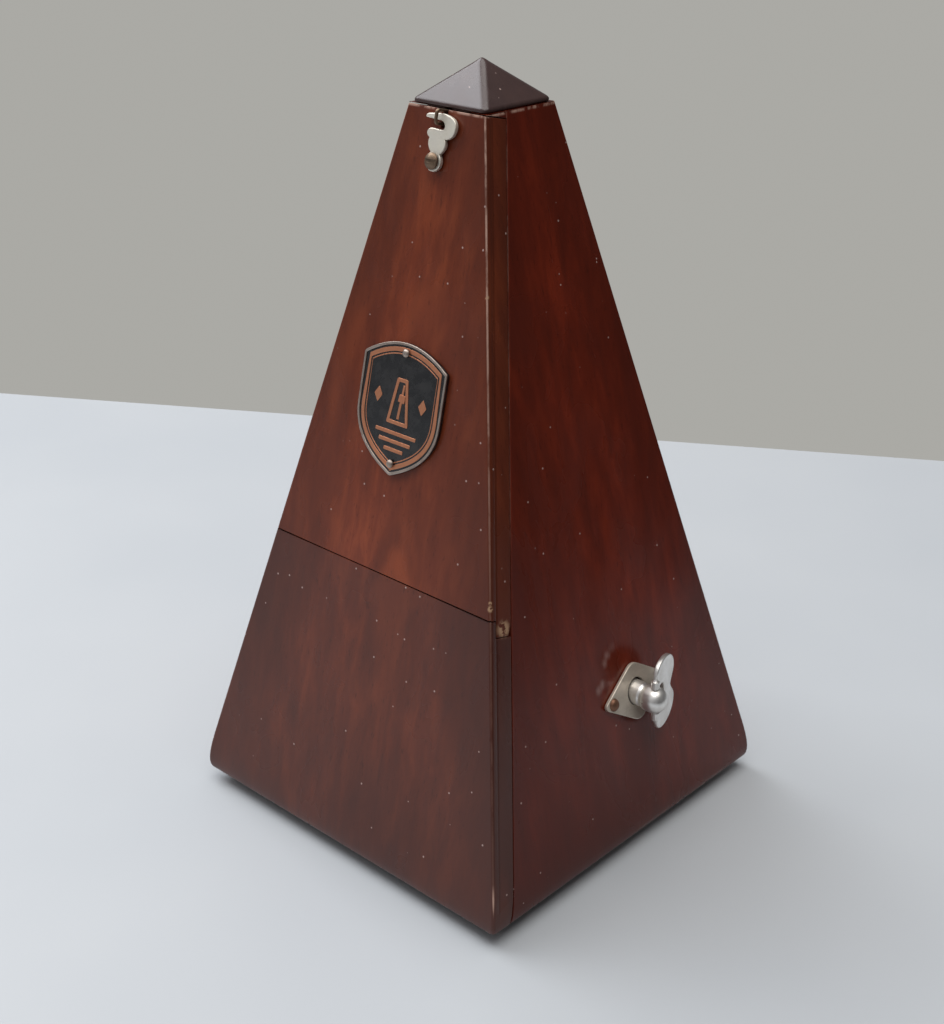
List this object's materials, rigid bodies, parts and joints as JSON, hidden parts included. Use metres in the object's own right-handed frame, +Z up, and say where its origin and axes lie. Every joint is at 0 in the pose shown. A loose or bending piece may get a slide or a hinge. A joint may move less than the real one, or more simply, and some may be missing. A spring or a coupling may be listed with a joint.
{
  "type": "metronome",
  "caption": "Wooden pyramid metronome with a tilting front cover, turn latch, folding winding key and a clockwork movement with a weighted pendulum.",
  "frame": {"origin": "on the table, under the middle of the object's outline seen from above", "axes": "+Z up, -Y out of the front cover, +X towards the winding key"},
  "size_m": [0.1234, 0.1216, 0.2202],
  "materials": {
    "wood": "clear lacquered mahogany, glossy, worn at the edges",
    "dark_wood": "dark lacquered mahogany, very glossy",
    "bare_wood": "unfinished wood",
    "enamel": "black enamel with a copper border line, slightly dulled",
    "nickel": "polished nickel with fine rub marks",
    "dull_nickel": "dull nickel plate, greyed by age",
    "copper": "polished copper heads",
    "brass": "lacquered brass",
    "steel": "bright steel",
    "blue_steel": "blued spring steel",
    "lead": "cast lead, dull grey",
    "scale_metal": "silvered scale with dark printed lines"
  },
  "bodies": {
    "case": {"left_side_panel": "wood", "right_side_panel": "wood", "back_panel": "wood", "lower_front_panel": "wood", "top_block": "dark_wood", "base_board": "bare_wood", "cap": "dark_wood", "foot_front_left": "dark_wood", "foot_front_right": "dark_wood", "foot_back_left": "dark_wood", "foot_back_right": "dark_wood", "latch_staple": "nickel", "key_escutcheon": "dull_nickel", "escutcheon_pin_front": "copper", "escutcheon_pin_back": "copper", "left_plate": "brass", "right_plate": "brass", "pillar_front_lower": "brass", "pillar_back_lower": "brass", "pillar_front_upper": "brass", "pillar_back_upper": "brass", "movement_seat": "steel", "verge_bracket": "brass", "escape_cock": "brass", "mainspring": "blue_steel", "scale_plate": "scale_metal", "scale_rail_left": "bare_wood", "scale_rail_right": "bare_wood", "scale_pin_lower_left": "brass", "scale_pin_lower_right": "brass", "scale_pin_upper_left": "brass", "scale_pin_upper_right": "brass", "pendulum_catch": "brass"},
    "cover": {"front_cover": "wood", "badge": "enamel", "badge_pin_upper": "nickel", "badge_pin_lower": "nickel", "latch_screw": "brass"},
    "latch": {"latch_hook": "nickel"},
    "key": {"winding_arbor": "steel", "key_hub": "nickel", "key_wing_pin": "steel", "ratchet_wheel": "steel"},
    "wing": {"key_wing": "nickel"},
    "great": {"great_wheel": "brass", "click_screw": "steel", "click_spring": "blue_steel"},
    "click": {"click": "steel"},
    "second": {"second_arbor": "steel", "first_pinion": "steel", "second_wheel": "brass"},
    "escape": {"escape_arbor": "steel", "escape_pinion": "steel", "crown_wheel": "brass"},
    "pendulum": {"verge_arbor": "steel", "pendulum_rod": "steel", "pendulum_bob": "lead", "pendulum_collar": "brass", "pendulum_nut": "brass"},
    "weight": {"sliding_weight": "brass"}
  },
  "joints": [
    {"name": "cover_tilt", "type": "hinge", "parent": "case", "child": "cover", "pos_m": [-0.00095, -0.04209, 0.08514], "axis": [1, 0, 0], "range_deg": [0, 35]},
    {"name": "latch_turn", "type": "hinge", "parent": "cover", "child": "latch", "pos_m": [-0.00115, -0.01687, 0.19504], "axis": [0, 0.9747, -0.2237], "range_deg": [0, 95]},
    {"name": "winding", "type": "hinge", "parent": "case", "child": "key", "pos_m": [0.04, 0.009, 0.046], "axis": [1, 0, 0], "continuous": true},
    {"name": "wing_fold", "type": "hinge", "parent": "key", "child": "wing", "pos_m": [0.05805, 0.009, 0.046], "axis": [0, 0.0698, -0.9976], "range_deg": [0, 105]},
    {"name": "great_wheel_turn", "type": "hinge", "parent": "case", "child": "great", "pos_m": [0.0118, 0.009, 0.046], "axis": [1, 0, 0], "continuous": true},
    {"name": "click_lift", "type": "hinge", "parent": "great", "child": "click", "pos_m": [0.0148, 0.0155, 0.03474], "axis": [1, 0, 0], "range_deg": [0, 10]},
    {"name": "second_arbor_turn", "type": "hinge", "parent": "case", "child": "second", "pos_m": [-0.00095, 0.01455, 0.07441], "axis": [1, 0, 0], "continuous": true},
    {"name": "crown_wheel_turn", "type": "hinge", "parent": "case", "child": "escape", "pos_m": [-0.0112, -0.003, 0.074], "axis": [1, 0, 0], "continuous": true},
    {"name": "pendulum_swing", "type": "hinge", "parent": "case", "child": "pendulum", "pos_m": [-0.00095, -0.032, 0.074], "axis": [0, 1, 0], "range_deg": [-5, 5]},
    {"name": "weight_slide", "type": "slide", "parent": "pendulum", "child": "weight", "axis": [0, 0.2237, 0.9747], "range_m": [-0.02, 0.017]}
  ],
  "couplings": [
    {"joint": "great_wheel_turn", "follows": "crown_wheel_turn", "ratio": 0.041667},
    {"joint": "second_arbor_turn", "follows": "crown_wheel_turn", "ratio": -0.20833}
  ]
}
